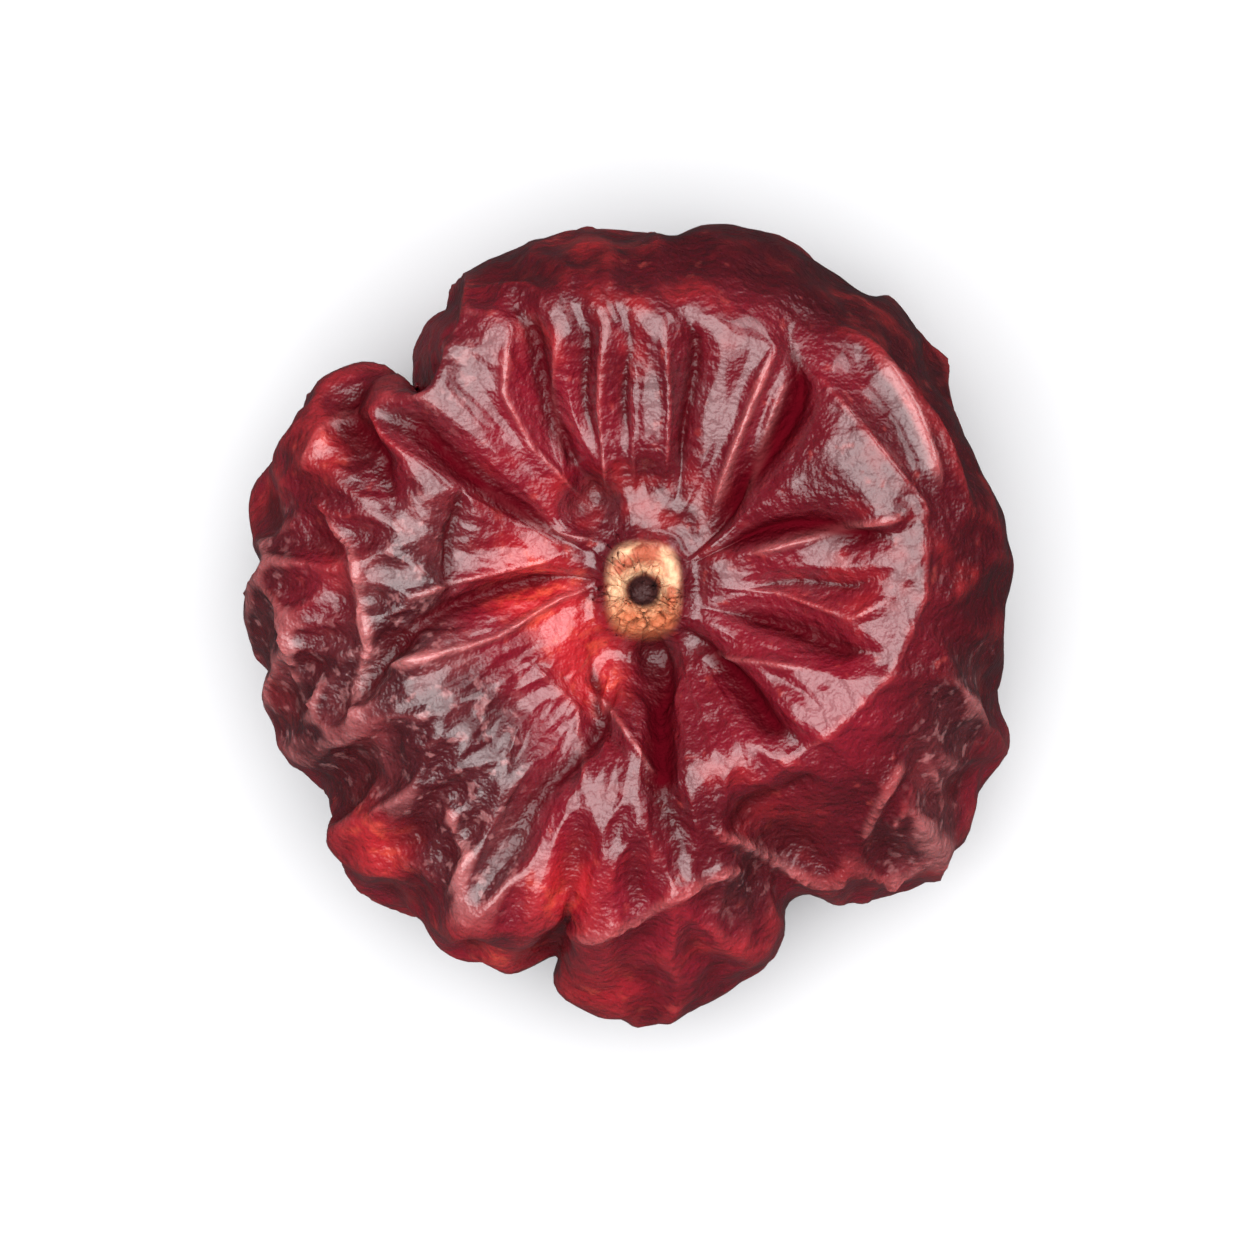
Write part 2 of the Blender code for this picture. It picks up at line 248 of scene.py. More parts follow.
# Crisp ridges of the puckered top, seen from above: places from the middle of the outline, height, width
TOP_RIDGES = (
    (((1.53, 1.62), (2.22, 3.51), (2.90, 5.23)), 0.30, 0.12),
    (((1.96, 1.74), (2.62, 3.35), (3.16, 4.80)), 0.24, 0.12),
    (((1.87, 1.02), (3.93, 1.53), (5.48, 1.88)), 0.27, 0.14),
    (((1.70, 0.50), (2.90, 0.42), (4.28, -0.10), (5.14, 0.42)), 0.18, 0.11),
    (((1.27, -0.79), (2.22, -0.87), (3.93, -1.13)), 0.21, 0.12),
    (((-0.70, -1.22), (0.0, -2.15), (0.84, -3.36)), 0.21, 0.11),
    (((-1.91, -0.79), (-0.88, -1.82), (-0.70, -3.53)), 0.18, 0.12),
    (((-0.27, 0.67), (-1.22, 0.30), (-2.42, -0.45), (-3.80, -0.85), (-4.83, -1.13)), 0.30, 0.12),
    (((-0.27, 1.28), (-1.56, 1.62), (-2.94, 2.65)), 0.18, 0.11),
    (((-0.53, 1.96), (-1.74, 3.17), (-2.25, 4.20), (-2.08, 5.74)), 0.21, 0.12),
    (((-1.05, 2.45), (-1.35, 4.05), (-1.22, 5.55)), 0.18, 0.11),
    (((-0.30, 2.15), (-0.45, 3.85), (-0.40, 5.55)), 0.18, 0.11),
    (((0.20, 2.25), (0.15, 3.95), (0.12, 5.55)), 0.15, 0.09),
    (((0.80, 2.35), (0.85, 4.05), (0.75, 5.65)), 0.15, 0.09),
    (((1.27, -3.96), (2.22, -4.31), (3.59, -5.08), (4.97, -5.17), (5.65, -4.74)), 0.30, 0.14),
    (((-1.31, -6.03), (-0.53, -6.11), (0.50, -5.60), (1.70, -4.91), (2.56, -4.74)), 0.27, 0.14),
    (((-5.90, 2.40), (-5.05, 1.30), (-4.75, -0.60), (-5.00, -1.50), (-5.15, -2.30)), 0.30, 0.12),
    (((-6.80, 0.60), (-6.35, -0.50), (-6.00, -1.30), (-5.75, -2.00)), 0.24, 0.12),
    (((-3.40, -3.30), (-2.90, -4.60), (-3.30, -5.70)), 0.24, 0.12),
    (((-0.90, 1.20), (-1.90, 0.95), (-3.00, 0.65), (-4.20, 0.25)), 0.20, 0.11),
    (((-6.10, 2.50), (-5.60, 3.60), (-4.90, 4.20)), 0.20, 0.14),
    (((4.60, 5.10), (5.40, 3.80), (5.95, 2.10)), 0.30, 0.18),
    (((4.40, -4.40), (4.80, -3.50), (5.30, -2.50)), 0.28, 0.13),
    (((5.60, -2.60), (5.95, -3.40), (5.70, -4.30)), 0.24, 0.13),
    (((4.95, -4.20), (5.25, -3.70), (5.45, -3.10)), 0.16, 0.10),
    (((3.2, 4.75), (3.76, 4.37), (4.54, 3.34), (5.57, 2.05), (5.6, 0.42), (4.97, -1.13), (3.93, -2.15),
      (2.9, -2.93), (1.53, -3.62)), 0.16, 0.13),
)

# Places where light shines through thin skin: bearing in degrees, run, strength, radius
BRIGHT_SPOTS = (
    (152, 0.40, 0.7, 1.0),
    (223, 0.42, 1.0, 0.9),
    (255, 0.38, 0.8, 1.0),
    (250, 0.47, 0.8, 0.8),
    (268, 0.48, 0.7, 1.2),
    (239, 0.13, 0.8, 0.9),
    (205, 0.10, 0.7, 0.7),
    (178, 0.13, 0.5, 0.8),
    (166, 0.15, 0.5, 1.2),
    (-55, 0.36, 0.3, 1.6),
    (190, 0.45, 0.4, 1.5),
    (40, 0.62, 0.7, 1.6),
    (120, 0.70, 0.8, 1.5),
    (330, 0.66, 0.7, 1.5),
    (200, 0.72, 0.8, 1.4),
)

# Places where the skin has dried to a dull brown: bearing in degrees, run, strength, radius
BROWN_PLACES = (
    (217, 0.27, 0.9, 1.4),
    (223, 0.33, 0.9, 1.3),
    (239, 0.37, 1.0, 1.2),
    (198, 0.34, 0.7, 1.3),
    (185, 0.45, 1.0, 1.7),
    (180, 0.28, 0.8, 1.1),
    (203, 0.42, 1.0, 1.5),
    (170, 0.42, 0.7, 1.2),
    (-18, 0.41, 1.0, 1.4),
    (-37, 0.44, 1.0, 1.3),
    (-66, 0.40, 0.8, 1.1),
    (130, 0.29, 0.6, 1.5),
    (160, 0.26, 0.5, 1.2),
)

RIDGE_END_FADE = 0.2  # share of a crisp ridge over which each end fades
UPWARD_FROM = (0.2, 0.3)  # upward part of the skin's normal where crisp ridges start, and how far it takes
STEADY_ROUNDS = 6  # rounds of smoothing after which the skin's normals lead the creases and ridges
DEPTH_ROUNDS = 18  # rounds of smoothing after which the skin shows what lies deep and what stands out

# The scar's crumbs: their size, and how much they move and roughen its ring
CRUMB_SIZE = 0.28
CRUMB_SHIFT = 0.12
CRUMB_HEIGHT = 0.35

# Colours of the skin
DEEP_RED = (0.065, 0.0014, 0.005)
FULL_RED = (0.15, 0.003, 0.011)
# painted shade: darker red on the taut right wall
WALL_SHADE_RED = (0.035, 0.0007, 0.003)
PATCH_RED = (0.30, 0.010, 0.012)
SPECK_RED = (0.42, 0.05, 0.04)
DRIED_BROWN = (0.035, 0.005, 0.007)
DRIED_MAUVE = (0.11, 0.018, 0.022)
# painted highlights: pale glint specks on the brown places
BROWN_GLINT_SPECKS = (0.36, 0.15, 0.15)
SHINING_RED = (0.36, 0.010, 0.015)
SHINING_SPECKS = (0.55, 0.07, 0.035)
# painted shade: dark red deep in hollows and creases
HOLLOW_SHADE_RED = (0.045, 0.0012, 0.003)
# painted highlight: lighter red on raised skin
RAISED_HIGHLIGHT_RED = (0.34, 0.02, 0.025)
# painted highlight: pale mauve on raised brown skin
RAISED_HIGHLIGHT_MAUVE = (0.34, 0.14, 0.14)
# painted highlight: pale pink along the crisp ridges
CREST_HIGHLIGHT_PINK = (0.42, 0.13, 0.13)
# painted shade: dark matt red deep in the creases
CREASE_SHADE_RED = (0.06, 0.0012, 0.004)

# Colours of the scar
SCAR_BROWN = (0.34, 0.08, 0.04)
SCAR_CREAM = (0.64, 0.36, 0.21)
SCAR_SHADE = (0.38, 0.09, 0.03)
PIT_BLACK = (0.03, 0.003, 0.003)


def through(values, place):
    """A smooth curve through evenly spaced values, at places counted in steps between them."""
    values = np.asarray(values, float)
    low = np.clip(np.floor(place).astype(int), 0, len(values) - 2)
    part = place - low
    before = values[np.maximum(low - 1, 0)]
    start, end = values[low], values[low + 1]
    after = values[np.minimum(low + 2, len(values) - 1)]
    slope_in, slope_out = (end - before) / 2, (after - start) / 2
    return (
        start
        + slope_in * part
        + (3 * (end - start) - 2 * slope_in - slope_out) * part**2
        + (2 * (start - end) + slope_in + slope_out) * part**3
    )


def around(values, bearing):
    """A smooth closed curve through values that are evenly spaced round the fruit."""
    count = len(values)
    closed = (*values[-2:], *values, *values[:3])
    return through(closed, 2 + np.mod(bearing, FULL_TURN) / FULL_TURN * count)


def angle_between(bearing, degrees):
    """How far each bearing lies from the one given in degrees, in degrees from -180 to 180."""
    return np.mod(np.degrees(bearing) - degrees + 180, 360) - 180


def outline_reach(bearing):
    reach = around(OUTLINE_REACH, bearing)
    for degrees, depth, half_width in NOTCHES:
        reach = reach - depth * np.exp(-((angle_between(bearing, degrees) / half_width) ** 2))
    return reach


def plain_fruit(bearing, run):
    """Points on the fruit before it is creased."""
    station = np.clip(run, 0, 1) * 10
    reach = through(TOP_SHARE, station) * around(TOP_REACH, bearing)
    reach = reach + through(OUTLINE_SHARE, station) * outline_reach(bearing)
    widest = WIDEST_HEIGHT + WIDEST_LEAN * np.sin(bearing) + WIDEST_SWAY * np.sin(3 * bearing + 1)
    height = through(RIM_SHARE, station) * around(RIM_HEIGHT, bearing)
    height = height + through(WIDEST_SHARE, station) * widest
    height = height + through((SCAR_HEIGHT, *[0] * 8, STEM_DIMPLE / 2, STEM_DIMPLE), station)
    to_scar = np.clip((0.5 - run) / 0.3, 0, 1)
    to_stem = np.clip((run - 0.5) / 0.4, 0, 1)
    x = SCAR_OFFSET[0] * to_scar + STEM_OFFSET[0] * to_stem + reach * np.cos(bearing)
    y = SCAR_OFFSET[1] * to_scar + STEM_OFFSET[1] * to_stem + reach * np.sin(bearing)
    return np.stack([x, y, height], axis=-1)


def scar_reach(points):
    """How far out each point lies, counted in half sizes of the squarish ring."""
    x = (points[..., 0] - SCAR_OFFSET[0]) / SCAR_HALF_X
    y = (points[..., 1] - SCAR_OFFSET[1]) / SCAR_HALF_Y
    return (np.abs(x) ** 3 + np.abs(y) ** 3) ** (1 / 3)


def distance_to_line(points, line):
    """Each point's distance from a chain of straight stretches, and how far along it the nearest place is."""
    nearest = np.full(points.shape[:-1], 1e9)
    along = np.zeros(points.shape[:-1])
    stretches = len(line) - 1
    for i in range(stretches):
        step = line[i + 1] - line[i]
        share = np.clip((points - line[i]) @ step / (step @ step), 0, 1)
        gap = np.linalg.norm(points - line[i] - share[..., None] * step, axis=-1)
        closer = gap < nearest
        nearest[closer] = gap[closer]
        along[closer] = (i + share[closer]) / stretches
    return nearest, along


def crease_cut(points, crease, wander, pieces=10):
    """Depth that one crease cuts at each point: a sharp valley that fades at both ends."""
    start_bearing, end_bearing, start_run, end_run, depth, width = crease
    share = np.linspace(0, 1, pieces)
    bearing = start_bearing + (end_bearing - start_bearing) * share
    bearing = np.radians(bearing + wander * np.sin(share * FULL_TURN))
    run = start_run + (end_run - start_run) * share
    gap, along = distance_to_line(points, plain_fruit(bearing, run))
    fade = np.clip(np.minimum(along, 1 - along) / CREASE_FADE, 0, 1)
    fade = CREASE_END_DEPTH + (1 - CREASE_END_DEPTH) * fade
    return depth * fade * np.exp(-gap / (width * CREASE_SHARPNESS))


def drawn_folds():
    """The folds down the sides and the creases round the stem end."""
    draw = random.Random(FOLD_SEED)
    folds = []
    for count, most_lean, start_runs, end_runs, depths, widths in (SIDE_FOLDS, STEM_CREASES):
        for i in range(count):
            bearing = (i + draw.uniform(-FOLD_UNEVENNESS, FOLD_UNEVENNESS)) * 360 / count
            lean = draw.uniform(-most_lean, most_lean)
            sizes = [draw.uniform(*sizes) for sizes in (start_runs, end_runs, depths, widths)]
            folds.append((bearing, bearing + lean, *sizes))
    return folds


def hollows():
    """Bearing and run of the middle of each hollow."""
    draw = random.Random(HOLLOW_SEED)
    middles = []
    for run, count in HOLLOW_ROWS:
        for i in range(count):
            bearing = (i + draw.uniform(-HOLLOW_UNEVENNESS, HOLLOW_UNEVENNESS)) * FULL_TURN / count
            middles.append((bearing, run + draw.uniform(-HOLLOW_RUN_UNEVENNESS, HOLLOW_RUN_UNEVENNESS)))
    return np.array(middles)


def on_drum(bearing, run):
    return np.stack([np.cos(bearing), np.sin(bearing), HOLLOW_STRETCH * run], axis=-1)


def past_rim(run):
    return np.clip((run - RIDGE_START) / (RIDGE_FULL - RIDGE_START), 0, 1)


def tautness(bearing):
    """1 amid the taut wall, and 0 on the other side of the fruit."""
    return np.exp(-((angle_between(bearing, TAUT_BEARING) / TAUT_HALF_WIDTH) ** 4))


def slack(bearing, run, widest_calm=WIDEST_CALM):
    """Share of the folds' and ridges' full size: less where the wall is taut or the fruit is widest."""
    above = np.clip((TAUT_RUN - run) / TAUT_FADE, 0, 1)
    calm = widest_calm * np.exp(-(((run - WIDEST_RUN) / WIDEST_CALM_REACH) ** 2))
    return (1 - (1 - TAUT_SHARE) * tautness(bearing) * above) * (1 - calm)


def underside_share(run):
    """Share of the wrinkles and creases that is left on the underside."""
    low, high = UNDERSIDE_RUN
    return 1 - (1 - UNDERSIDE_WRINKLES) * np.clip((run - low) / (high - low), 0, 1)


def side_ridges(bearing, run):
    """Height of the sharp ridges, which run where two hollows are equally near."""
    wavy = bearing + RIDGE_SWAY * np.sin(RIDGE_SWAYS_DOWN * run + RIDGE_SWAYS_ROUND * bearing)
    middles = hollows()
    gaps = np.linalg.norm(on_drum(wavy, run)[:, None] - on_drum(middles[:, 0], middles[:, 1])[None], axis=2)
    nearest = np.partition(gaps, 1, axis=1)
    return RIDGE_HEIGHT * past_rim(run) * np.exp(-(nearest[:, 1] - nearest[:, 0]) / RIDGE_WIDTH)


def swelling(points, bearing, run, height, radius):
    """Height that a rounded bump (or, below 0, a pit) adds at each point."""
    centre = plain_fruit(np.radians(bearing), np.array(run, float))
    gap = np.linalg.norm(points - centre, axis=-1)
    return height * np.exp(-((gap / radius) ** 2))


def crease_depth(points, bearing, run):
    """How deep the creases and folds cut into the plain fruit at each point."""
    slackness = slack(bearing, run)
    cut = np.zeros(len(points))
    for crease in TOP_CREASES:
        cut = np.maximum(cut, crease_cut(points, crease, TOP_WANDER))
    for fold in drawn_folds():
        cut = np.maximum(cut, slackness * crease_cut(points, fold, FOLD_WANDER))
    return cut


def swollen_relief(points, bearing, run):
    """How far the lobes, dents and ridges move each point of the plain fruit out along its normal."""
    out = slack(bearing, run) * underside_share(run) * side_ridges(bearing, run)
    for lobe in LOBES:
        out = out + swelling(points, *lobe)
    for pit_bearing, pit_run, depth, radius in PITS + DENTS:
        out = out + swelling(points, pit_bearing, pit_run, -depth, radius)
    bearings, runs, height, width = WALL_FOLD
    bearings = np.radians(np.linspace(*bearings, WALL_FOLD_PIECES))
    gap, along = distance_to_line(points, plain_fruit(bearings, np.linspace(*runs, WALL_FOLD_PIECES)))
    return out + height * np.sin(np.pi * along) * np.exp(-((gap / width) ** 2))


def grid_places(rings, segments):
    """Bearing and run of every point of a grid with the given rings and segments."""
    run = np.arange(rings + 1) / rings
    run = run - POLE_CROWDING * np.sin(FULL_TURN * run) / FULL_TURN
    return np.meshgrid(np.arange(segments) * FULL_TURN / segments, run)


def outward(grid):
    """The direction out of the skin at each point of a grid."""
    round_step = np.roll(grid, -1, 1) - np.roll(grid, 1, 1)
    down_step = np.empty_like(grid)
    down_step[1:-1] = grid[2:] - grid[:-2]
    down_step[0], down_step[-1] = grid[1] - grid[0], grid[-1] - grid[-2]
    normal = np.cross(down_step, round_step)
    normal[0], normal[-1] = (0, 0, 1), (0, 0, -1)
    return normal / (np.linalg.norm(normal, axis=2, keepdims=True) + 1e-12)


def shaped_fruit(rings, segments):
    """The fruit's swollen form, and how deep its creases go, on a grid."""
    bearing, run = grid_places(rings, segments)
    grid = plain_fruit(bearing, run)
    places = (grid.reshape(-1, 3), bearing.ravel(), run.ravel())
    relief = swollen_relief(*places).reshape(bearing.shape) + DRAW_IN * underside_share(run)
    creases = CREASE_SHARE * underside_share(run) * crease_depth(*places).reshape(bearing.shape)
    return grid + relief[..., None] * outward(grid), creases


def finer(grid):
    """The same skin with twice the rings and segments, on smooth curves through its points."""
    between = (9 * (grid + np.roll(grid, -1, 1)) - np.roll(grid, 1, 1) - np.roll(grid, -2, 1)) / 16
    wide = np.empty((grid.shape[0], grid.shape[1] * 2, 3))
    wide[:, ::2], wide[:, 1::2] = grid, between
    half_turn = wide.shape[1] // 2
    past_poles = (np.roll(wide[1:2], half_turn, 1), wide, np.roll(wide[-2:-1], half_turn, 1))
    rows = np.concatenate(past_poles)
    fine = np.empty((wide.shape[0] * 2 - 1, wide.shape[1], 3))
    fine[::2] = wide
    fine[1::2] = (9 * (rows[1:-2] + rows[2:-1]) - rows[:-3] - rows[3:]) / 16
    return fine


def span(grid, down, across):
    """From each point to the one so many rings down and segments across."""
    start = grid[: grid.shape[0] - down]
    return np.roll(grid, -across, 1)[down:] - start


def grown(grid, run, share_round, share_down, steps, hold, stiffness, start_unevenness, seed):
    """The skin after it has grown too large for its place, and folded."""
    draw = np.random.default_rng(seed)
    place = grid
    grid = grid + outward(grid) * draw.normal(0, start_unevenness, grid.shape[:2])[..., None]
    free = np.clip((run - FREE_FROM[0]) / FREE_FROM[1], 0, 1)
    free = (free * np.clip((FREE_UNTIL[0] - run) / FREE_UNTIL[1], 0, 1))[..., None]
    share_down = share_down * past_rim(run)
    both = (share_round + share_down) / 2
    ties = []
    for down, across, strength, growth in (
        (0, 1, 1, share_round),
        (1, 0, 1, share_down),
        (1, 1, CROSS_TIES, both),
        (1, -1, CROSS_TIES, both),
        (0, 2, stiffness, share_round),
        (2, 0, stiffness, share_down),
    ):
        length = np.linalg.norm(span(place, down, across), axis=2)
        extra = length * (growth * free[..., 0])[: len(length)]
        ties.append((down, across, strength, length, extra))
    for step in range(steps):
        grown_share = min(1, (step + 1) / (FULLY_GROWN * steps))
        push = np.zeros_like(grid)
        for down, across, strength, length, extra in ties:
            line = span(grid, down, across)
            long = np.linalg.norm(line, axis=2) + 1e-9
            pull = (0.5 * strength * (1 - (length + extra * grown_share) / long))[..., None] * line
            push[: len(pull)] += pull
            push[down:] -= np.roll(pull, across, 1)
        grid = grid + (push / EASE + hold * (place - grid)) * free
    return grid


def drawn_in(grid, depth, steps):
    """The skin drawn in towards the flesh."""
    for _ in range(steps):
        grid = grid - outward(blurred(grid, 1)) * depth / steps
    return grid


def noise_at(points, patch, seed):
    """Smooth noise at each point, from about -1 to 1, in patches of the given size in mm."""
    shift = Vector((seed * 7.3, seed * 3.1, seed * 5.7))
    return np.array([noise.noise(Vector(point) / patch + shift) for point in points.reshape(-1, 3)])


def scar_relief(grid):
    """Height that the dry ring, its pit and the moat round it add."""
    out = scar_reach(grid)
    rough = noise_at(grid, CRUMB_SIZE, 3).reshape(out.shape)
    ring_width = SCAR_RING_WIDTH / SCAR_HALF_X
    ring = SCAR_RING_HEIGHT * np.exp(-(((out - 1 - CRUMB_SHIFT * rough) / ring_width) ** 2))
    ring = ring * (1 + CRUMB_HEIGHT * rough)
    from_middle = np.linalg.norm(grid[..., :2] - np.array(SCAR_OFFSET), axis=2)
    pit = SCAR_PIT_DEPTH * np.exp(-((from_middle / SCAR_PIT_REACH) ** 4))
    moat = SCAR_MOAT_DEPTH * np.exp(-(((out - SCAR_MOAT_REACH) / SCAR_MOAT_WIDTH) ** 2))
    return np.where(grid[..., 2] > WIDEST_HEIGHT, ring - pit - moat, 0)


def top_ridge_relief(grid):
    """Height of the crisp ridges of the top, on whatever faces up."""
    faces_up = np.clip((outward(grid)[..., 2] - UPWARD_FROM[0]) / UPWARD_FROM[1], 0, 1)
    raised = np.zeros(grid.shape[:2])
    for line, height, width in TOP_RIDGES:
        gap, along = distance_to_line(grid[..., :2], np.array(line))
        fade = np.clip(np.minimum(along, 1 - along) / RIDGE_END_FADE, 0, 1)
        raised = np.maximum(raised, height * fade * np.exp(-gap / width))
    return raised * faces_up


def blurred(values, rounds):
    """Values of a grid, smoothed over their neighbours."""
    for _ in range(rounds):
        values = (2 * values + np.roll(values, 1, 1) + np.roll(values, -1, 1)) / 4
        rows = np.concatenate([values[:1], values, values[-1:]])
        values = (rows[:-2] + 2 * rows[1:-1] + rows[2:]) / 4
    return values


def wrinkled_skin():
    """The finished places of the skin's points, on a grid, and what its colours follow."""
    start, creases = shaped_fruit(RINGS, SEGMENTS)
    start = start - creases[..., None] * outward(start)
    grid = start
    for number, growth in enumerate(GROWTH):
        if number:
            start, grid = finer(start), finer(grid)
        run = grid_places(len(grid) - 1, grid.shape[1])[1]
        grid = grown(grid, run, *growth, GROWTH_SEED + number)
    bearing, run = grid_places(len(grid) - 1, grid.shape[1])
    low, high = TOP_WRINKLES_RUN
    amount = TOP_WRINKLES + (1 - TOP_WRINKLES) * np.clip((run - low) / (high - low), 0, 1)
    amount = amount * underside_share(run) * slack(bearing, run, WRINKLE_CALM)
    shape, creases = shaped_fruit(len(grid) - 1, grid.shape[1])
    amount = amount * (1 - np.clip(sum(swelling(shape, *place) for place in SMOOTH_PLACES), 0, 1))
    wrinkles = blurred((grid - start) * amount[..., None], 1)
    rise = np.sum(wrinkles * outward(shape), axis=2)
    wrinkles = wrinkles - np.maximum(rise - MOST_RISE, 0)[..., None] * outward(shape)
    uneven = UNEVEN_HEIGHT * noise_at(shape, UNEVEN_PATCH, 9).reshape(run.shape) * np.clip(run / 0.1, 0, 1)
    draw_in = DRAW_IN * underside_share(run)[..., None]
    grid = drawn_in(shape + wrinkles + uneven[..., None] * outward(shape), draw_in, DRAW_IN_STEPS)
    crests = top_ridge_relief(grid)
    grid = grid + outward(blurred(grid, STEADY_ROUNDS)) * (crests - creases)[..., None]
    grid[..., 2] += scar_relief(grid)
    smooth = blurred(grid, DEPTH_ROUNDS)
    depth = -np.sum((grid - smooth) * outward(smooth), axis=2)
    glow = sum(swelling(shape, *spot) for spot in BRIGHT_SPOTS)
    traits = {
        "depth": depth,
        "crease": creases,
        "crest": crests,
        "glow": glow,
        "brown": sum(swelling(shape, *place) for place in BROWN_PLACES),
        "scar": scar_reach(grid) + np.where(grid[..., 2] > WIDEST_HEIGHT, 0, 9),
        "pit": np.linalg.norm(grid[..., :2] - np.array(SCAR_OFFSET), axis=2) / SCAR_PIT_REACH,
        # where the taut right wall is: it takes painted shade and a weaker coat
        "wall": tautness(bearing) * np.clip((run - 0.33) / 0.05, 0, 1),
    }
    return grid, traits


def make_skin():
    grid, traits = wrinkled_skin()
    floor = grid[..., 2].min() + FOOT_DEPTH
    grid[..., 2] = np.maximum(grid[..., 2] - floor, 0)
    low, high = grid.reshape(-1, 3).min(axis=0), grid.reshape(-1, 3).max(axis=0)
    grid[..., :2] -= ((low + high) / 2)[:2]
    cad_low, cad_high = (np.array(corner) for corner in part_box(NODE))
    grid *= (cad_high - cad_low) / MM / (high - low)
    rings, segments = len(grid) - 1, grid.shape[1]

    bpy.ops.object.select_all(action="DESELECT")
    bpy.ops.mesh.primitive_grid_add(x_subdivisions=segments, y_subdivisions=rings, size=1)
    skin = bpy.context.object
    skin.name = "wrinkled_skin"
    mesh = skin.data
    sheet = np.empty(len(mesh.vertices) * 3, np.float32)
    mesh.vertices.foreach_get("co", sheet)
    sheet = sheet.reshape(-1, 3) + 0.5
    ring = np.rint((1 - sheet[:, 1]) * rings).astype(int)
    segment = np.rint(sheet[:, 0] * segments).astype(int) % segments
    mesh.vertices.foreach_set("co", (grid[ring, segment] * MM).astype(np.float32).ravel())
    for name, values in traits.items():
        layer = mesh.attributes.new(name, "FLOAT", "POINT")
        layer.data.foreach_set("value", values[ring, segment].astype(np.float32))
    mesh.update()
    bpy.ops.object.mode_set(mode="EDIT")
    bpy.ops.mesh.select_all(action="SELECT")
    bpy.ops.mesh.remove_doubles(threshold=SEAM_GAP)
    bpy.ops.mesh.normals_make_consistent(inside=False)
    bpy.ops.object.mode_set(mode="OBJECT")
    mesh.shade_smooth()
    return skin


class Value:
    """A socket that Python's own signs add Math nodes to."""

    def __init__(self, painter, socket):
        self.painter, self.socket = painter, socket

    def _math(self, operation, *values, clamp=False):
        return self.painter.node("ShaderNodeMath", {"operation": operation, "use_clamp": clamp}, values)

    def __add__(self, other):
        return self._math("ADD", self, other)

    __radd__ = __add__

    def __sub__(self, other):
        return self._math("SUBTRACT", self, other)

    def __rsub__(self, other):
        return self._math("SUBTRACT", other, self)

    def __mul__(self, other):
        return self._math("MULTIPLY", self, other)

    __rmul__ = __mul__

    def clamped(self):
        return self._math("ADD", self, 0, clamp=True)

    def ramp(self, low, high):
        """0 up to low, 1 from high on, and smooth in between."""
        settings = {"interpolation_type": "SMOOTHSTEP"}
        sockets = {"Value": self, "From Min": low, "From Max": high}
        return self.painter.node("ShaderNodeMapRange", settings, sockets)


class Painter:
    """Adds nodes to one material."""

    def __init__(self, name):
        self.material = bpy.data.materials.new(name)
        self.material.use_nodes = True
        self.tree = self.material.node_tree
        self.shader = self.tree.nodes["Principled BSDF"]

    def node(self, kind, settings=None, sockets=(), output=0):
        made = self.tree.nodes.new(kind)
        for name, value in (settings or {}).items():
            setattr(made, name, value)
        pairs = sockets.items() if isinstance(sockets, dict) else enumerate(sockets)
        for place, value in pairs:
            self.put(made.inputs[place], value)
        return Value(self, made.outputs[output])

    def put(self, socket, value):
        if isinstance(value, Value):
            self.tree.links.new(value.socket, socket)
        else:
            socket.default_value = value

    def set(self, **values):
        for name, value in values.items():
            self.put(self.shader.inputs[name.replace("_", " ")], value)

    def mix(self, factor, one, other):
        """One colour where the factor is 0 and the other where it is 1."""
        settings = {"data_type": "RGBA"}
        sockets = {0: factor, 6: colour(one), 7: colour(other)}
        return self.node("ShaderNodeMix", settings, sockets, output=2)

    def noise(self, scale, detail=2.0, roughness=0.5, place=None):
        sockets = {"Scale": scale, "Detail": detail, "Roughness": roughness}
        if place is not None:
            sockets["Vector"] = place
        return self.node("ShaderNodeTexNoise", {}, sockets)

    def matt_shade_where(self, factor, dark, bump):
        """Painted shade deep in the creases: skin of a darker colour and without any shine."""
        sockets = {"Base Color": dark, "Normal": bump, "Roughness": 1.0, "Specular IOR Level": 0.0}
        matt = self.node("ShaderNodeBsdfPrincipled", {}, sockets)
        both = self.node("ShaderNodeMixShader", {}, (factor, Value(self, self.shader.outputs[0]), matt))
        self.put(self.tree.nodes["Material Output"].inputs["Surface"], both)

    def trait(self, name):
        return self.node("ShaderNodeAttribute", {"attribute_name": name}, output=2)

    def place(self):
        return self.node("ShaderNodeTexCoord", {}, output=3)


def colour(value):
    return (*value, 1.0) if isinstance(value, tuple) and len(value) == 3 else value


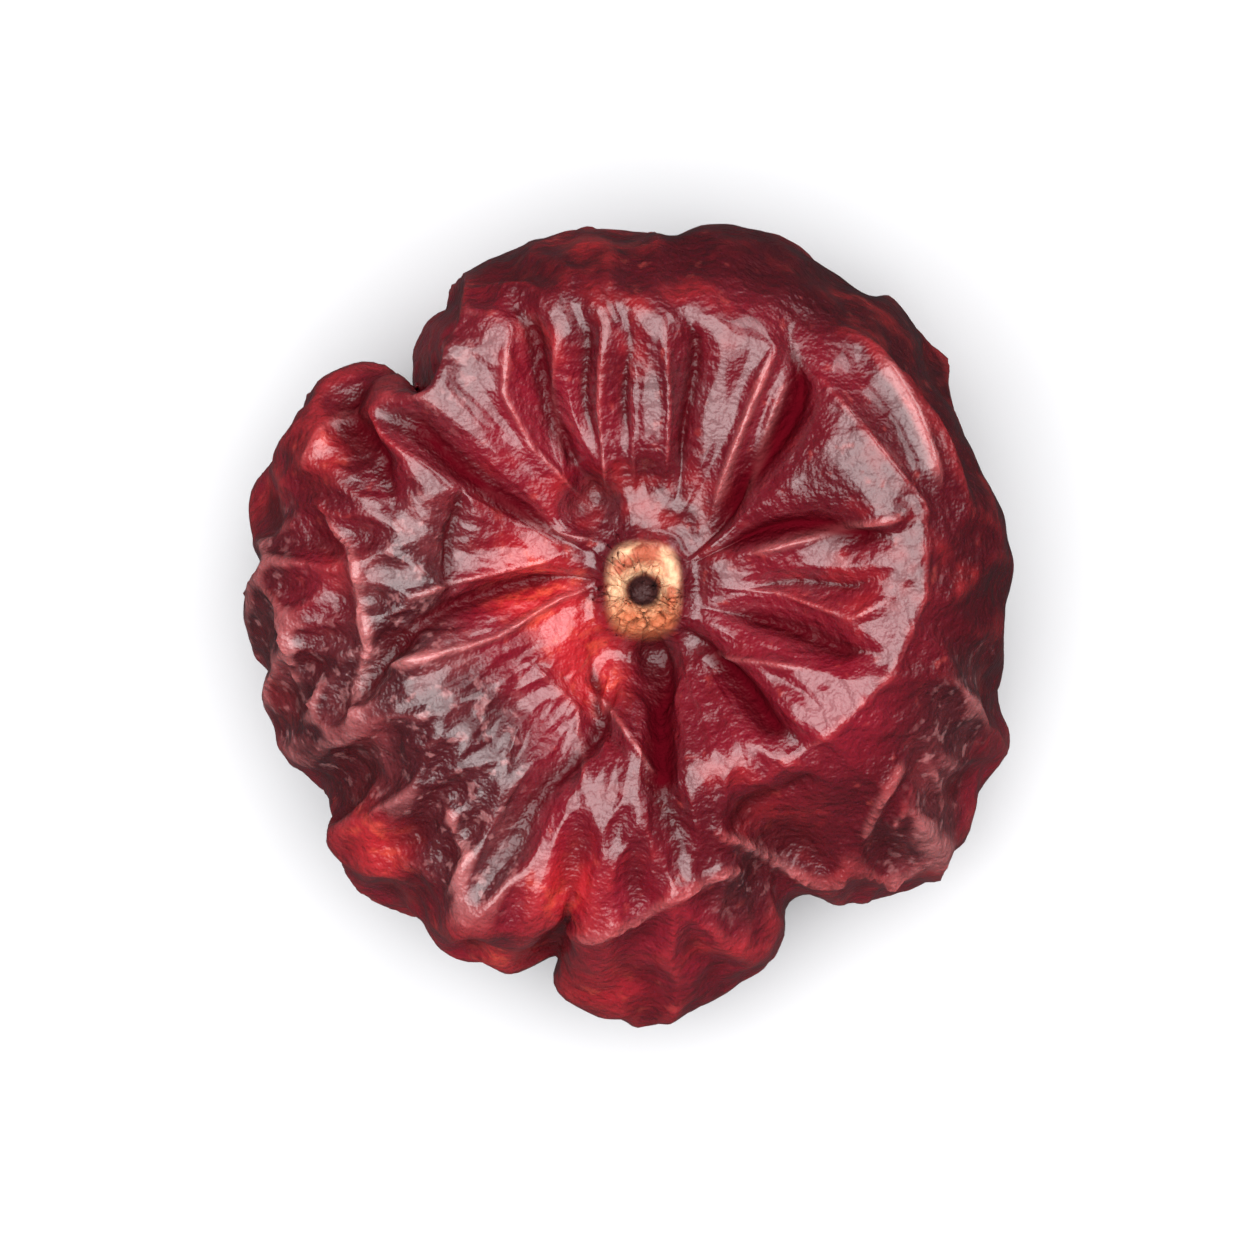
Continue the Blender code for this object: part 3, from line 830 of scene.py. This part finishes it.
def skin_material():
    paint = Painter("dried_skin_finish")
    place = paint.place()
    depth, scar, crease, crest = (paint.trait(name) for name in ("depth", "scar", "crease", "crest"))
    glow, brown = paint.trait("glow"), paint.trait("brown")
    # painted shade in hollows and creases, from how deep the skin lies and how deep its creases cut; it also
    # takes the coat away there
    hollow_shade = (depth.ramp(0.02, 0.14) * 0.8 + crease.ramp(0.10, 0.40)).clamped()
    broad = paint.noise(260, 2, 0.5, place)
    patches = paint.noise(620, 3, 0.6, place)
    specks = paint.noise(2600, 2, 0.6, place)

    wall = paint.trait("wall")
    red = paint.mix(broad.ramp(0.35, 0.65), DEEP_RED, FULL_RED)
    # painted shade: the taut right wall darkened towards a deep red
    red = paint.mix(wall * 0.85, red, WALL_SHADE_RED)
    red = paint.mix(patches.ramp(0.52, 0.75) * 0.6, red, PATCH_RED)
    red = paint.mix(specks.ramp(0.62, 0.78) * 0.3, red, SPECK_RED)
    dull = paint.mix(patches.ramp(0.4, 0.7), DRIED_BROWN, DRIED_MAUVE)
    # painted highlights: pale glint specks scattered over the brown colour
    dull = paint.mix(paint.noise(3600, 2, 0.6, place).ramp(0.55, 0.68) * 0.5, dull, BROWN_GLINT_SPECKS)
    browned = (brown * (0.5 + patches)).ramp(0.15, 0.8) * 0.85
    red = paint.mix(browned, red, dull)
    shining = (glow * (0.6 + patches * 0.8)).ramp(0.15, 0.9)
    red = paint.mix(shining * 0.85, red, SHINING_RED)
    red = paint.mix(shining * specks.ramp(0.5, 0.7) * 0.5, red, SHINING_SPECKS)
    # painted shade: hollows and creases darkened
    red = paint.mix(hollow_shade * 0.8, red, HOLLOW_SHADE_RED)
    # painted highlight: raised skin made lighter
    red = paint.mix((depth * -1.0).ramp(0.04, 0.16) * 0.35, red, RAISED_HIGHLIGHT_RED)
    # painted highlight: raised brown skin made pale
    red = paint.mix((depth * -1.0).ramp(0.05, 0.16) * browned * 0.5, red, RAISED_HIGHLIGHT_MAUVE)
    # painted highlight: pale pink along the crisp ridges
    red = paint.mix(crest.ramp(0.08, 0.26) * 0.35, red, CREST_HIGHLIGHT_PINK)

    dry = paint.mix(paint.noise(1500, 3, 0.6, place).ramp(0.42, 0.62), SCAR_BROWN, SCAR_CREAM)
    lower = 1 - paint.node("ShaderNodeSeparateXYZ", {}, (place,), output=1).ramp(0.0001, 0.0009)
    dry = paint.mix(lower * 0.8, dry, SCAR_SHADE)
    dry = paint.mix(paint.trait("pit").ramp(0.75, 1.15), PIT_BLACK, dry)
    on_scar = 1 - scar.ramp(1.05, 1.40)
    crinkle = paint.noise(1600, 2, 0.6, place) + paint.noise(4800, 2, 0.6, place) * 0.7
    bump = paint.node("ShaderNodeBump", {}, {"Strength": 0.7, "Distance": 0.00018, "Height": crinkle})
    paint.set(
        Base_Color=paint.mix(on_scar, red, dry),
        Roughness=(0.32 + patches * 0.12 + on_scar * 0.3).clamped(),
        Metallic=0.0,
        Coat_Weight=(1 - on_scar) * (1 - hollow_shade) * (0.55 - wall * 0.35 + wall * crest.ramp(0.04, 0.16) * 0.45),
        Coat_Roughness=0.12,
        Subsurface_Weight=0.15,
        Subsurface_Scale=0.0006,
        Subsurface_Radius=(1.0, 0.12, 0.08),
        IOR=1.42,
        Normal=bump,
    )
    # painted shade: crease bottoms turned dark and matt
    paint.matt_shade_where(crease.ramp(0.20, 0.46), paint.mix(0.75, red, CREASE_SHADE_RED), bump)
    return paint.material


def floor_material():
    paint = Painter("pale_floor")
    paint.set(Base_Color=(0.48, 0.48, 0.49, 1.0), Roughness=0.7)
    return paint.material


def dress_fruit():
    skin = make_skin()
    skin.data.materials.append(skin_material())
    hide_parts(NODE)
    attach(skin, "root")


def lay_floor():
    bpy.ops.mesh.primitive_plane_add(size=2.0, location=(0, 0, 0))
    floor = bpy.context.object
    floor.name = "floor"
    floor.data.materials.append(floor_material())
    floor.visible_glossy = False


def add_softbox(name, place, aim, size, power):
    data = bpy.data.lights.new(name, "AREA")
    data.shape = "RECTANGLE"
    data.size, data.size_y = size
    data.energy = power
    light = bpy.data.objects.new(name, data)
    bpy.context.scene.collection.objects.link(light)
    light.location = place
    light.rotation_euler = (Vector(place) - Vector(aim)).to_track_quat("Z", "Y").to_euler()


def light_studio():
    add_softbox("overhead_softbox", (-0.03, -0.02, 0.36), (0, 0, 0), (0.48, 0.48), 4.7)
    add_softbox("side_strip", (0.30, 0.21, 0.24), (0, 0, 0.004), (0.30, 0.14), 0.9)
    world = bpy.data.worlds.new("studio_air")
    bpy.context.scene.world = world
    world.use_nodes = True
    background = world.node_tree.nodes["Background"]
    background.inputs["Color"].default_value = (0.95, 0.96, 1.0, 1.0)
    background.inputs["Strength"].default_value = 0.06


def place_camera():
    """Straight down, with the far side of the fruit (+Y) at the top of the picture."""
    middle = (Vector(CAD_BOX[0]) + Vector(CAD_BOX[1])) / 2
    data = bpy.data.cameras.new("overhead_camera")
    data.lens = 300
    data.clip_start, data.clip_end = 0.01, 10
    camera = bpy.data.objects.new("overhead_camera", data)
    bpy.context.scene.collection.objects.link(camera)
    width = (CAD_BOX[1][1] - CAD_BOX[0][1]) / 0.66
    camera.location = (middle.x, middle.y, CAD_BOX[1][2] + width * data.lens / data.sensor_width)
    bpy.context.scene.camera = camera


def main():
    dress_fruit()
    lay_floor()
    light_studio()
    place_camera()
    bpy.context.scene.view_settings.view_transform = "Standard"


main()
